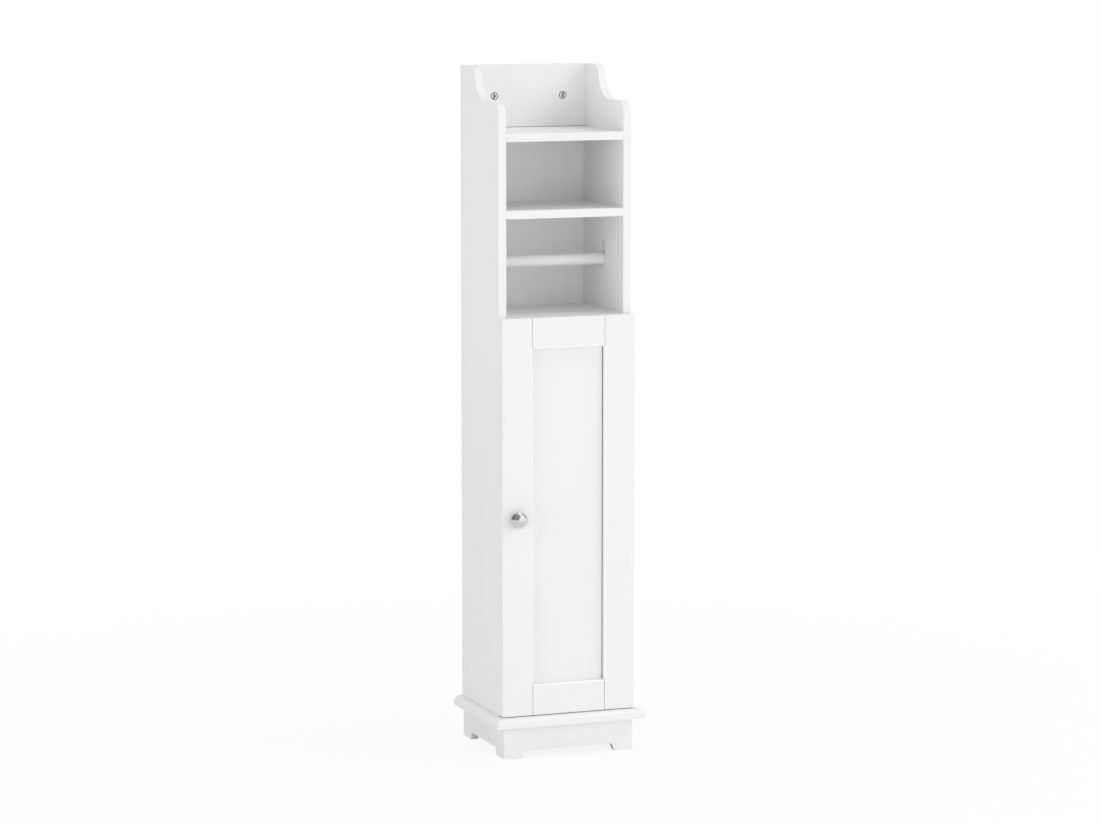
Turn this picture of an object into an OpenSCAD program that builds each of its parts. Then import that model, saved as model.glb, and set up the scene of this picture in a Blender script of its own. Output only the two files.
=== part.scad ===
// Narrow free-standing bathroom cabinet for toilet rolls.
// An open tray, an open bay, a bay with a roll bar and a cupboard with a framed door
// stand on a moulded plinth with bracket feet.
// X runs to the right, Y to the back, Z up. The origin is on the floor, in the middle
// of the cabinet's whole width and depth.

/* [Overall] */
// Width across the two side panels
body_w = 204; // [190:1:230]
// Depth of the side panels, without the door
body_d = 164; // [150:1:200]
// Height from the floor to the top of the side panels
overall_h = 1000; // [960:1:1100]
// Thickness of the painted boards
board_t = 12; // [12:0.5:14]

/* [Open bays] */
// Height from the tray shelf up to the top of the sides
tray_h = 92; // [80:1:110]
// Clear height of the bay under the tray
upper_bay_h = 98.5; // [80:0.5:120]
// Clear height of the roll bay
roll_bay_h = 141.5; // [130:0.5:160]
// Thickness of the board behind the tray
tray_back_t = 12; // [12:0.5:14]
// Thickness of the thin back board
back_board_t = 3.5; // [3:0.5:5]
// Width of the step in each side panel that the back board lies in
back_step_w = 6; // [4:0.5:7]

/* [Scalloped sides] */
// How far the front part of the side's top edge lies below the top
scallop_drop = 49; // [40:1:52]
// Distance from the front edge to where the full height begins
scallop_run = 121; // [112:1:130]
// Depth of the S-shaped part of the top edge
curve_w = 61; // [56:1:68]
// Radius of the crest at the back
crest_r = 22; // [16:1:26]
// Radius of the round front corner
nose_r = 17; // [8:1:24]

/* [Roll bar] */
// Diameter of the roll bar
bar_d = 17.5; // [14:0.5:22]
// Height of the resting bar's axis above the floor of the roll bay
bar_rise = 73; // [62:1:90]
// Distance of the bar's axis from the front edge of the sides
bar_setback = 82.5; // [70:0.5:95]
// Depth of the blind slots in the side panels
slot_depth = 7; // [5:0.5:8]
// How much wider the slots are than the bar
slot_play = 1.5; // [0.8:0.1:3]
// How far the bar can be lifted in its slots
bar_lift = 19; // [10:0.5:24]
// How far each end of the centred bar reaches into its slot
bar_hold = 3; // [2:0.5:4]

/* [Door] */
// Thickness of the door frame
door_t = 15; // [14:0.5:18]
// Gap between the door and the cabinet's front edges
door_gap = 1; // [0.8:0.1:1.5]
// Gap between the door and the plinth below it
door_foot_gap = 1; // [0.8:0.1:3]
// Width of the two stiles
stile_w = 46; // [45:0.5:50]
// Height of the two rails
rail_h = 45; // [36:0.5:60]
// How far the sunk panel lies behind the face of the frame
panel_sink = 9.5; // [7:0.5:11]
// Width of the step at the back of the frame that the panel is glued in
panel_step_w = 6; // [4:0.5:6.5]
// Diameter of the felt pads behind the door
pad_d = 8; // [6:0.5:10]

/* [Knob] */
// Diameter of the knob
knob_d = 26; // [20:1:30]
// Height of the knob above the face of the door
knob_reach = 22; // [19:0.5:24]
// Distance of the knob from the edge of the door
knob_inset = 21; // [18:0.5:26]
// Diameter of the knob's foot
knob_foot_d = 15; // [12:0.5:18]

/* [Plinth] */
// Height of the apron below the moulded board
apron_h = 48; // [40:1:70]
// Thickness of the moulded board
plinth_t = 14; // [12:0.5:18]
// How far the moulded board stands out beyond the apron
plinth_over = 14.8; // [10:0.2:20]
// How far the apron's sides lie inside the cabinet's sides
apron_inset = 2; // [0:0.5:4]
// How far the apron's front stands in front of the cabinet's sides
apron_front = 14; // [10:0.5:18]
// Thickness of the apron boards
apron_t = 12; // [11:0.5:15]
// Width of the rounded slope on the moulded board's edge
nose_run = 10; // [6:0.5:11]
// Radius of that rounded slope
nose_curve_r = 11.8; // [11:0.2:14]
// Height of the cut-outs between the feet
foot_cut_h = 11.3; // [8:0.1:20]
// Width of the front feet at the floor
front_foot_w = 27.3; // [22:0.1:40]
// Width of the side feet at the floor
side_foot_w = 32.5; // [26:0.5:45]
// How far the inner edge of a foot slopes
foot_slope = 4.2; // [2:0.1:8]
// Radius of the cut-outs' upper corners
foot_fillet = 4; // [2:0.5:6]

/* [Inside] */
// Height of the inner shelf above the cupboard's floor
inner_shelf_z = 272; // [150:1:400]
// Gap between the inner shelf and the side panels
shelf_play = 0.5; // [0.3:0.1:1.5]
// How far the inner shelf stays behind the front edges
shelf_setback = 30; // [24:1:50]
// Diameter of the shelf pins
shelf_pin_d = 5; // [4:0.5:5.5]
// Diameter of the wood dowels
dowel_d = 6; // [5:0.5:7]
// Length of the wood dowels
dowel_l = 25; // [20:1:30]
// Depth of the dowel and bolt holes in the side panels
dowel_bite = 8; // [6:0.5:9]
// Diameter of the cam locks
cam_d = 12; // [10:0.5:15]
// Height of the cam locks
cam_h = 9; // [8.5:0.5:10]
// Distance of the cam locks from the ends of their boards
cam_setback = 36.5; // [30:0.5:42]
// Height of the tray back's cam locks above the tray shelf
cam_rise = 46; // [30:1:60]
// Play of dowels, pins, screws and cams in their holes, on the radius
hole_play = 0.1; // [0.05:0.05:0.2]

/* [Hinges] */
// Distance of the hinges from the ends of the door
hinge_inset = 85; // [70:1:120]
// Diameter of the hinge cups
cup_d = 35; // [34:0.5:35.5]
// Depth of the hinge cups
cup_depth = 11.5; // [11.5:0.1:12]
// Wood left between a cup and the edge of the door
cup_edge = 3; // [3:0.1:3.5]
// Distance of the arms' pivots from the side panel
arm_reach = 16; // [15.8:0.1:16.2]
// Radius of the hinge pins
pin_r = 1; // [0.9:0.05:1.1]
// Thickness of one cheek of an outer link
link_t = 1.6; // [1.4:0.1:1.8]
// Thickness of an inner link
inner_link_t = 4.8; // [4.4:0.1:5]
// Thickness of the sheet that the arms are bent from
arm_t = 1.5; // [1.2:0.1:2]
// Thickness of the mounting plates
plate_t = 2.4; // [2:0.1:3]

/* [Hidden] */
$fn = 64;

// Colours
paint = [0.93, 0.92, 0.92];
nickel = [0.72, 0.71, 0.69];
zinc = [0.66, 0.67, 0.69];
beech = [0.80, 0.66, 0.47];
felt = [0.85, 0.85, 0.83];

// How far a cut runs past the face that it starts from
over = 1;
// How far two shapes of one piece run into each other
seam = 0.01;
// Steps along the round corner of a cut-out
arc_steps = 8;
// Gap under a round piece that only lies in its seat
rest_gap = 0.3;
// Gap round a board in a step, and past the end of a pin in its hole
board_play = 0.2;
// Play of the hinge pins in the links, on the radius
pin_play = 0.05;

// Places across and along the cabinet
half_w = body_w / 2;
inner_half = half_w - board_t;
front_y = (door_gap + door_t + knob_reach - body_d) / 2;
back_y = front_y + body_d;
inner_back_y = back_y - back_board_t;
mid_y = (front_y + back_y) / 2;

// Heights of the boards
body_z = apron_h + plinth_t;
floor_z = body_z + board_t;
tray_top = overall_h - tray_h;
tray_z = tray_top - board_t;
middle_z = tray_z - upper_bay_h - board_t;
top_z = middle_z - roll_bay_h - board_t;
cross_zs = [tray_z, middle_z, top_z, body_z];

// Scalloped top edge of the sides: a crest and a hollow that meet in one slope
shoulder_z = overall_h - scallop_drop;
curve_turn = 2 * atan(scallop_drop / curve_w);
crest = [front_y + scallop_run, overall_h - crest_r];
hollow_r = curve_w / sin(curve_turn) - crest_r;
hollow = [crest[0] - curve_w, shoulder_z + hollow_r];
curve_meet = crest + crest_r * [-sin(curve_turn), cos(curve_turn)];

// Dowels, bolts and cams in the ends of the boards
dowel_r = dowel_d / 2;
dowel_inset = 28;
dowel_ys = [front_y + dowel_inset, back_y - dowel_inset];
dowel_run = dowel_l - dowel_bite;
tray_dowel_inset = 16;
tray_dowel_zs = [tray_top + tray_dowel_inset, overall_h - tray_dowel_inset];
tray_back_mid = back_y - tray_back_t / 2;
tray_cam_z = tray_top + cam_rise;
cam_r = cam_d / 2;
cam_x = inner_half - cam_setback;
bolt_r = 2.2;
bolt_head_r = 3.2;
bolt_head_l = 3;
bolt_thread_r = 3;
bolt_bore_r = bolt_head_r + hole_play;
cam_slot_w = 1.2;
cam_slot_l = 7;
cam_slot_deep = 1.5;

// Nails of the back board
nail_r = 0.7;
nail_l = 14;
nail_head_r = 1.6;
nail_head_t = 0.8;
nail_inset = 30;
nail_xs = [nail_inset - inner_half, 0, inner_half - nail_inset];
nail_side_x = inner_half + back_step_w / 2;
nail_side_inset = 50;
nail_step = 130;
nail_side_zs = [for (z = [floor_z + nail_side_inset : nail_step : tray_z - nail_l]) z];

// Roll bar and its slots
bar_r = bar_d / 2;
bar_y = front_y + bar_setback;
bar_z = top_z + board_t + bar_rise;
slot_r = bar_r + slot_play / 2;
slot_low_z = bar_z + slot_play / 2 - rest_gap;
slot_high_z = bar_z + bar_lift - slot_play / 2 + rest_gap;
bar_half = inner_half + bar_hold;
bar_chamfer = 1;

// Inner shelf, which lies on the lugs of its pins
shelf_z = floor_z + inner_shelf_z;
shelf_front_y = front_y + shelf_setback;
shelf_pin_r = shelf_pin_d / 2;
shelf_pin_inset = 25;
shelf_pin_ys = [shelf_front_y + shelf_pin_inset, inner_back_y - shelf_pin_inset];
shelf_pin_bite = 8;
lug_l = 8;
lug_w = 8;
lug_h = 6;
shelf_pin_z = shelf_z - lug_h / 2;

// Door
door_face_y = front_y - door_gap - door_t;
door_back_y = front_y - door_gap;
door_z = body_z + door_foot_gap;
door_top = top_z + board_t;
door_mid_z = (door_z + door_top) / 2;
panel_y = door_face_y + panel_sink;
rail_half = half_w - stile_w;
door_dowel_r = 2.5;
door_dowel_reach = 12;
door_dowel_y = door_face_y + panel_sink / 2;
door_dowel_inset = 11;
door_dowel_zs = [
  door_z + door_dowel_inset, door_z + rail_h - door_dowel_inset,
  door_top - rail_h + door_dowel_inset, door_top - door_dowel_inset
];
pad_x = board_t / 2 - half_w;
pad_inset = 30;
pad_t = door_gap - board_play;

// Knob: a foot, a hollow-sided neck, a rim and a dome
knob_x = knob_inset - half_w;
knob_r = knob_d / 2;
knob_foot_r = knob_foot_d / 2;
knob_foot_t = 1.4;
knob_neck_r = 5;
knob_waist_z = 7.5;
knob_neck_curve_r = (pow(knob_foot_r - knob_neck_r, 2) + pow(knob_waist_z - knob_foot_t, 2))
                    / (2 * (knob_foot_r - knob_neck_r));
knob_dome_h = 8.5;
knob_rim_t = 1.5;
knob_rim_z = knob_reach - knob_dome_h - knob_rim_t;
knob_dome_r = (pow(knob_r, 2) + pow(knob_dome_h, 2)) / (2 * knob_dome_h);
knob_screw_r = 2;
knob_screw_bite = 9;
knob_screw_head_r = 4;
knob_screw_head_t = 2.4;

// Wood screws
wood_screw_r = 1.75;
wood_screw_head_r = 3.3;
wood_screw_head_t = 1.8;

// Hinges: places of the pins and elbows in plan, with the door shut
hinge_zs = [door_z + hinge_inset, door_top - hinge_inset];
cup_r = cup_d / 2;
cup_x = half_w - cup_edge - cup_r;
cup_place = [cup_x, door_back_y];
arm_place = [inner_half - arm_reach, front_y];
outer_arm_pin = arm_place + [0, 8.5];
inner_arm_pin = arm_place + [0, 13.5];
outer_cup_pin = cup_place + [12.5, -4];
inner_cup_pin = cup_place + [13.5, -7.8];
outer_elbow = cup_place + [5.5, -7];
inner_cup_elbow = cup_place + [5.2, -8.65];
inner_arm_elbow = cup_place + [-6.6, -1];
outer_link_r = 2;
outer_eye_r = 2.3;
inner_link_r = 1.5;
inner_eye_r = 1.75;
// An inner link's eye on the arm is a slot that lets the pin travel as the door turns
slot_eye_half = 1.2;
slot_eye_r = pin_r + 0.4;
slot_eye_wall = 1.2;
slot_eye_turn = -31.5;
// How much wider than its bars an elbow is, on the radius
elbow_over = 0.1;
// Layers of a hinge, measured from its middle plane
layer_gap = 0.35;
outer_link_low = inner_link_t / 2 + layer_gap;
outer_link_high = outer_link_low + link_t;
arm_low = outer_link_high + layer_gap;
arm_high = arm_low + arm_t;

// Hinge cups
cup_wall = 1.3;
cup_floor = 1;
cup_flange_t = 1.2;
cup_rim_w = 1;
cup_flange_r = 6;
cup_flange_gap = 1.5;
cup_flange_end = inner_half - cup_flange_gap;
cup_screw_off = 9.5;
cup_screw_x = cup_x - cup_screw_off;
cup_screw_rise = 22.5;
cup_screw_l = 11;

// Hinge arms, their plates and screws
arm_front_r = 2.8;
web_x = arm_place[0] - arm_front_r;
web_in = 20;
web_front_y = front_y + web_in;
arm_end_in = 60;
arm_back_y = front_y + arm_end_in;
arm_lift = 1.4;
arm_foot_x = inner_half - plate_t - arm_lift;
arm_foot_in = 22;
arm_foot_y = front_y + arm_foot_in;
arm_screw_ins = [30, 48];
arm_screw_ys = [for (screw_in = arm_screw_ins) front_y + screw_in];
arm_screw_r = 2;
arm_screw_head_r = 3.6;
arm_screw_head_t = 2;
arm_screw_l = 13;
boss_half = arm_low - board_play;
plate_ins = [24, 56];
plate_front_y = front_y + plate_ins[0];
plate_back_y = front_y + plate_ins[1];
plate_half = 24;
plate_screw_in = 37;
plate_screw_y = front_y + plate_screw_in;
plate_screw_rise = 16;
plate_screw_l = 11;

// Plinth
apron_half = half_w - apron_inset;
apron_y = front_y - apron_front;
block_w = 20;
block_up = 2;
block_z = foot_cut_h + block_up;
block_x = apron_half - apron_t - block_w;
block_ys = [apron_y + apron_t, back_y - apron_t - block_w];
plinth_screw_x = 60;
plinth_screw_inset = 40;
plinth_screw_ys = [front_y + plinth_screw_inset, back_y - plinth_screw_inset];
screw_bite = 9;
plinth_screw_l = plinth_t + screw_bite;
block_screw_l = apron_h - block_z + screw_bite;

// ---- Shared shapes ----

// Points along an arc from one angle to another
function arc(centre, r, from, to) = [
  for (i = [0 : arc_steps])
    let (turn = from + (to - from) * i / arc_steps)
    centre + r * [cos(turn), sin(turn)]
];

module block(low, high) translate(low) cube(high - low);

module along_x(x0, x1, y, z, r) translate([x0, y, z]) rotate([0, 90, 0]) cylinder(h = x1 - x0, r = r);

module along_y(x, y0, y1, z, r) translate([x, y0, z]) rotate([-90, 0, 0]) cylinder(h = y1 - y0, r = r);

module along_z(x, y, z0, z1, r) translate([x, y, z0]) cylinder(h = z1 - z0, r = r);

module both_sides() {
  children();
  mirror([1, 0, 0]) children();
}

// Turns an outline of depth and height into a solid from x0 to x1
module extrude_x(x0, x1) translate([x0, 0, 0]) rotate([90, 0, 90]) linear_extrude(x1 - x0) children();

// Turns an outline of width and height into a solid from y0 to y1
module extrude_y(y0, y1) translate([0, y1, 0]) rotate([90, 0, 0]) linear_extrude(y1 - y0) children();

// A countersunk wood screw along +Z with the face of its head at the origin
module wood_screw(length) {
  cylinder(h = wood_screw_head_t, r1 = wood_screw_head_r, r2 = wood_screw_r);
  cylinder(h = length, r = wood_screw_r);
}

// The hole for that screw
module wood_screw_hole(length) {
  translate([0, 0, -over]) cylinder(h = over + seam, r = wood_screw_head_r + hole_play);
  cylinder(h = wood_screw_head_t, r1 = wood_screw_head_r + hole_play, r2 = wood_screw_r + hole_play);
  cylinder(h = length + board_play, r = wood_screw_r + hole_play);
}

// ---- Side panels ----

// Outline of a side panel, front to back and bottom to top
module side_outline() difference() {
  union() {
    difference() {
      translate([front_y, body_z]) square([body_d, shoulder_z - body_z]);
      difference() {
        translate([front_y - over, shoulder_z - nose_r]) square([nose_r + over, nose_r + over]);
        translate([front_y + nose_r, shoulder_z - nose_r]) circle(nose_r);
      }
    }
    translate([crest[0], body_z]) square([back_y - crest[0], overall_h - body_z]);
    polygon([[hollow[0], shoulder_z - seam], [crest[0], shoulder_z - seam], crest, curve_meet, hollow]);
    translate(crest) circle(crest_r);
  }
  translate(hollow) circle(hollow_r);
}

// Blind upright slot that an end of the roll bar lies in
module bar_slot() {
  for (z = [slot_low_z, slot_high_z])
    along_x(inner_half - over, inner_half + slot_depth, bar_y, z, slot_r);
  block([inner_half - over, bar_y - slot_r, slot_low_z],
        [inner_half + slot_depth, bar_y + slot_r, slot_high_z]);
}

// Blind holes in a side panel for the dowels, bolts, shelf pins and nails
module side_holes() {
  deep = inner_half + dowel_bite + board_play;
  for (z = cross_zs) {
    for (y = dowel_ys)
      along_x(inner_half - over, deep, y, z + board_t / 2, dowel_r + hole_play);
    along_x(inner_half - over, deep, mid_y, z + board_t / 2, bolt_thread_r + hole_play);
  }
  for (z = tray_dowel_zs)
    along_x(inner_half - over, deep, tray_back_mid, z, dowel_r + hole_play);
  along_x(inner_half - over, deep, tray_back_mid, tray_cam_z, bolt_thread_r + hole_play);
  for (y = shelf_pin_ys)
    along_x(inner_half - over, inner_half + shelf_pin_bite + board_play, y, shelf_pin_z,
            shelf_pin_r + hole_play);
  for (z = nail_side_zs)
    along_y(nail_side_x, back_y - nail_l - board_play, back_y, z, nail_r + hole_play);
}

// The right-hand side panel without its hinge holes
module side_panel() difference() {
  extrude_x(inner_half, half_w) side_outline();
  block([inner_half - over, inner_back_y, body_z - over],
        [inner_half + back_step_w, back_y + over, tray_top]);
  bar_slot();
  side_holes();
}

module side_panel_left() color(paint) mirror([1, 0, 0]) side_panel();

module side_panel_right() color(paint) difference() {
  side_panel();
  place_plate_screws() wood_screw_hole(plate_screw_l);
}

// ---- Level boards and backs ----

// Bores in both ends of a level board for its dowels, bolts and cams
module board_bores(z) both_sides() {
  mid = z + board_t / 2;
  for (y = dowel_ys)
    along_x(inner_half - dowel_run - board_play, inner_half + over, y, mid, dowel_r + hole_play);
  along_x(cam_x, inner_half + over, mid_y, mid, bolt_bore_r);
  along_z(cam_x, mid_y, z - over, z + cam_h + board_play, cam_r + hole_play);
}

module cross_board(z) difference() {
  block([-inner_half, front_y, z], [inner_half, inner_back_y, z + board_t]);
  board_bores(z);
  for (x = nail_xs)
    along_y(x, back_y - nail_l - board_play, back_y, z + board_t / 2, nail_r + hole_play);
}

module tray_shelf() color(paint) cross_board(tray_z);

module middle_shelf() color(paint) cross_board(middle_z);

module cabinet_top() color(paint) cross_board(top_z);

module cabinet_bottom() color(paint) difference() {
  cross_board(body_z);
  place_plinth_screws() wood_screw_hole(plinth_screw_l);
}

module tray_back() color(paint) difference() {
  block([-inner_half, back_y - tray_back_t, tray_top], [inner_half, back_y, overall_h]);
  both_sides() {
    for (z = tray_dowel_zs)
      along_x(inner_half - dowel_run - board_play, inner_half + over, tray_back_mid, z,
              dowel_r + hole_play);
    along_x(cam_x, inner_half + over, tray_back_mid, tray_cam_z, bolt_bore_r);
    along_y(cam_x, back_y - tray_back_t - over, back_y - tray_back_t + cam_h + board_play,
            tray_cam_z, cam_r + hole_play);
  }
}

// Puts its children at every nail of the back board, with +Z into the cabinet
module place_nails() {
  for (z = cross_zs, x = nail_xs)
    translate([x, back_y, z + board_t / 2]) rotate([90, 0, 0]) children();
  both_sides() for (z = nail_side_zs)
    translate([nail_side_x, back_y, z]) rotate([90, 0, 0]) children();
}

module back_board() color(paint) difference() {
  edge = inner_half + back_step_w - board_play;
  block([-edge, inner_back_y, body_z], [edge, back_y, tray_top]);
  place_nails() {
    translate([0, 0, -over]) cylinder(h = nail_head_t + over, r = nail_head_r + hole_play);
    cylinder(h = nail_l, r = nail_r + hole_play);
  }
}

module back_nails() color(zinc) place_nails() {
  cylinder(h = nail_head_t, r = nail_head_r);
  cylinder(h = nail_l, r = nail_r);
}

// ---- Dowels, bolts and cams ----

module dowel(y, z) along_x(inner_half - dowel_run, inner_half + dowel_bite, y, z, dowel_r);

module wood_dowels() color(beech) both_sides() {
  for (z = cross_zs, y = dowel_ys) dowel(y, z + board_t / 2);
  for (z = tray_dowel_zs) dowel(tray_back_mid, z);
}

// A bolt screwed into the side panel, with its head in the middle of a cam
module cam_bolt(y, z) {
  along_x(inner_half, inner_half + dowel_bite, y, z, bolt_thread_r);
  along_x(cam_x, inner_half + seam, y, z, bolt_r);
  along_x(cam_x - bolt_head_l / 2, cam_x + bolt_head_l / 2, y, z, bolt_head_r);
}

module cam_bolts() color(zinc) both_sides() {
  for (z = cross_zs) cam_bolt(mid_y, z + board_t / 2);
  cam_bolt(tray_back_mid, tray_cam_z);
}

// A cam along +Z with its cross-slotted face at the origin, bored from +X for the bolt
module cam_lock(bolt_depth) difference() {
  cylinder(h = cam_h, r = cam_r);
  for (turn = [0, 90])
    rotate([0, 0, turn])
      block([-cam_slot_l / 2, -cam_slot_w / 2, -over], [cam_slot_l / 2, cam_slot_w / 2, cam_slot_deep]);
  along_x(-bolt_head_l / 2 - board_play, cam_r + over, 0, bolt_depth, bolt_bore_r);
}

module cam_locks() color(zinc) both_sides() {
  for (z = cross_zs) translate([cam_x, mid_y, z]) cam_lock(board_t / 2);
  translate([cam_x, back_y - tray_back_t, tray_cam_z]) rotate([-90, 0, 0]) cam_lock(tray_back_t / 2);
}

// ---- Inner shelf and roll bar ----

module inner_shelf() color(paint)
  block([-inner_half + shelf_play, shelf_front_y, shelf_z],
        [inner_half - shelf_play, inner_back_y - board_play, shelf_z + board_t]);

module shelf_pins() color(nickel) both_sides() for (y = shelf_pin_ys) {
  along_x(inner_half - over, inner_half + shelf_pin_bite, y, shelf_pin_z, shelf_pin_r);
  block([inner_half - lug_l, y - lug_w / 2, shelf_z - lug_h], [inner_half, y + lug_w / 2, shelf_z]);
}

module roll_bar() color(paint) {
  plain_half = bar_half - bar_chamfer;
  along_x(-plain_half, plain_half, bar_y, bar_z, bar_r);
  both_sides() translate([plain_half, bar_y, bar_z]) rotate([0, 90, 0])
    cylinder(h = bar_chamfer, r1 = bar_r, r2 = bar_r - bar_chamfer);
}

// ---- Door ----

// Holes on the right for the dowels between a stile and the rails
module door_dowel_holes() for (z = door_dowel_zs)
  along_x(rail_half - door_dowel_reach - board_play, rail_half + door_dowel_reach + board_play,
          door_dowel_y, z, door_dowel_r + hole_play);

// The right-hand stile, stepped at the back for the panel and the rails
module stile() difference() {
  block([rail_half, door_face_y, door_z], [half_w, door_back_y, door_top]);
  block([rail_half - over, panel_y, door_z - over],
        [rail_half + panel_step_w, door_back_y + over, door_top + over]);
  door_dowel_holes();
}

module door_stile_left() color(paint) difference() {
  mirror([1, 0, 0]) stile();
  along_y(knob_x, door_face_y - over, door_back_y + over, door_mid_z, knob_screw_r + hole_play);
}

module door_stile_right() color(paint) difference() {
  stile();
  for (z = hinge_zs)
    along_y(cup_x, door_back_y - cup_depth - hole_play, door_back_y + over, z, cup_r + hole_play);
  place_cup_screws() wood_screw_hole(cup_screw_l);
}

// A rail from low to high whose back runs on into the stiles' steps and, between step_low
// and step_high, makes room for the panel
module rail(low, high, step_low, step_high) difference() {
  union() {
    block([-rail_half, door_face_y, low], [rail_half, panel_y + seam, high]);
    block([-rail_half - panel_step_w, panel_y, low], [rail_half + panel_step_w, door_back_y, high]);
  }
  block([-half_w, panel_y, step_low], [half_w, door_back_y + over, step_high]);
  both_sides() door_dowel_holes();
}

module door_rail_bottom() color(paint)
  rail(door_z, door_z + rail_h, door_z + rail_h - panel_step_w, door_z + rail_h + over);

module door_rail_top() color(paint)
  rail(door_top - rail_h, door_top, door_top - rail_h - over, door_top - rail_h + panel_step_w);

module door_panel() color(paint) {
  edge = panel_step_w - board_play;
  block([-rail_half - edge, panel_y, door_z + rail_h - edge],
        [rail_half + edge, door_back_y, door_top - rail_h + edge]);
}

module door_dowels() color(beech) both_sides() for (z = door_dowel_zs)
  along_x(rail_half - door_dowel_reach, rail_half + door_dowel_reach, door_dowel_y, z, door_dowel_r);

module bumper_pads() color(felt) for (z = [door_z + pad_inset, door_top - pad_inset])
  along_y(pad_x, door_back_y, door_back_y + pad_t, z, pad_d / 2);

// Half of the knob's section: radius across, height above the door upwards
module knob_section() {
  difference() {
    square([knob_foot_r, knob_rim_z + seam]);
    translate([knob_neck_r + knob_neck_curve_r, knob_waist_z]) circle(knob_neck_curve_r);
  }
  translate([0, knob_rim_z]) square([knob_r, knob_rim_t]);
  intersection() {
    translate([0, knob_reach - knob_dome_r]) circle(knob_dome_r);
    translate([0, knob_rim_z + knob_rim_t - seam]) square([knob_r, knob_dome_h + over]);
  }
}

module knob() color(nickel) difference() {
  translate([knob_x, door_face_y, door_mid_z]) rotate([90, 0, 0]) rotate_extrude() knob_section();
  along_y(knob_x, door_face_y - knob_screw_bite - board_play, door_face_y + over, door_mid_z,
          knob_screw_r + pin_play);
}

module knob_screw() color(zinc) {
  along_y(knob_x, door_face_y - knob_screw_bite, door_back_y + seam, door_mid_z, knob_screw_r);
  along_y(knob_x, door_back_y, door_back_y + knob_screw_head_t, door_mid_z, knob_screw_head_r);
}

// ---- Hinges ----

module at_hinges() for (z = hinge_zs) translate([0, 0, z]) children();

// A flat bar in plan from a to b
module strip(a, b, r) {
  run = b - a;
  translate(a) rotate(atan2(run[1], run[0])) translate([0, -r]) square([norm(run), 2 * r]);
}

// The round shape over the elbow where two bars meet
module elbow(at, r) translate(at) circle(r + elbow_over);

// A hole along Z for a pin, right through a hinge
module pin_bore(at) along_z(at[0], at[1], -arm_high - over, arm_high + over, pin_r + pin_play);

// The two cheeks of an outer link, above and below the inner link
module outer_link() difference() {
  for (low = [-outer_link_high, outer_link_low])
    translate([0, 0, low]) linear_extrude(link_t) {
      translate(outer_arm_pin) circle(outer_eye_r);
      strip(outer_arm_pin, outer_elbow, outer_link_r);
      elbow(outer_elbow, outer_link_r);
      strip(outer_elbow, outer_cup_pin, outer_link_r);
      translate(outer_cup_pin) circle(outer_eye_r);
    }
  pin_bore(outer_arm_pin);
  pin_bore(outer_cup_pin);
}

// The slot in the arm end of an inner link, or the metal round it where r is larger
module slot_eye(r) {
  half = slot_eye_half * [cos(slot_eye_turn), sin(slot_eye_turn)];
  strip(inner_arm_pin - half, inner_arm_pin + half, r);
  elbow(inner_arm_pin - half, r);
  elbow(inner_arm_pin + half, r);
}

module inner_link() difference() {
  translate([0, 0, -inner_link_t / 2]) linear_extrude(inner_link_t) difference() {
    union() {
      translate(inner_cup_pin) circle(inner_eye_r);
      strip(inner_cup_pin, inner_cup_elbow, inner_link_r);
      elbow(inner_cup_elbow, inner_link_r);
      strip(inner_cup_elbow, inner_arm_elbow, inner_link_r);
      elbow(inner_arm_elbow, inner_link_r);
      strip(inner_arm_elbow, inner_arm_pin, inner_link_r);
      slot_eye(slot_eye_r + slot_eye_wall);
    }
    slot_eye(slot_eye_r);
  }
  pin_bore(inner_cup_pin);
}

module lower_outer_link() color(zinc) translate([0, 0, hinge_zs[0]]) outer_link();

module upper_outer_link() color(zinc) translate([0, 0, hinge_zs[1]]) outer_link();

module lower_inner_link() color(zinc) translate([0, 0, hinge_zs[0]]) inner_link();

module upper_inner_link() color(zinc) translate([0, 0, hinge_zs[1]]) inner_link();

// Outline of a cup's flange, across and up
module flange_outline() intersection() {
  union() {
    translate([cup_x, 0]) circle(cup_r + cup_rim_w);
    translate([cup_screw_x - cup_flange_r, -cup_screw_rise])
      square([cup_x - cup_screw_x + cup_flange_r, 2 * cup_screw_rise]);
    for (z = [-cup_screw_rise, cup_screw_rise])
      translate([cup_screw_x, z]) circle(cup_flange_r);
  }
  translate([cup_x - cup_d, -cup_d]) square([cup_flange_end - cup_x + cup_d, 2 * cup_d]);
}

// A cup with a channel that the links fold into
module hinge_cup() difference() {
  union() {
    along_y(cup_x, door_back_y - cup_depth, door_back_y + seam, 0, cup_r);
    extrude_y(door_back_y, door_back_y + cup_flange_t) flange_outline();
  }
  block([cup_x - cup_r + cup_wall, door_back_y - cup_depth + cup_floor, -arm_low],
        [cup_x + cup_r - cup_wall, door_back_y + cup_flange_t + over, arm_low]);
  pin_bore(outer_cup_pin);
  pin_bore(inner_cup_pin);
  place_cup_screws_of_one() wood_screw_hole(cup_screw_l);
}

module place_cup_screws_of_one() for (z = [-cup_screw_rise, cup_screw_rise])
  translate([cup_screw_x, door_back_y + cup_flange_t, z]) rotate([90, 0, 0]) children();

module place_cup_screws() at_hinges() place_cup_screws_of_one() children();

module lower_hinge_cup() color(nickel) translate([0, 0, hinge_zs[0]]) hinge_cup();

module upper_hinge_cup() color(nickel) translate([0, 0, hinge_zs[1]]) hinge_cup();

module cup_screws() color(zinc) place_cup_screws() wood_screw(cup_screw_l);

// A pin right through a hinge
module through_pin(at) along_z(at[0], at[1], -arm_high, arm_high, pin_r);

// Two short pins that leave the middle free for the inner link
module short_pins(at) for (low = [-arm_high, outer_link_low])
  along_z(at[0], at[1], low, low + arm_high - outer_link_low, pin_r);

module cup_pins() color(nickel) at_hinges() {
  short_pins(outer_cup_pin);
  through_pin(inner_cup_pin);
}

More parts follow.
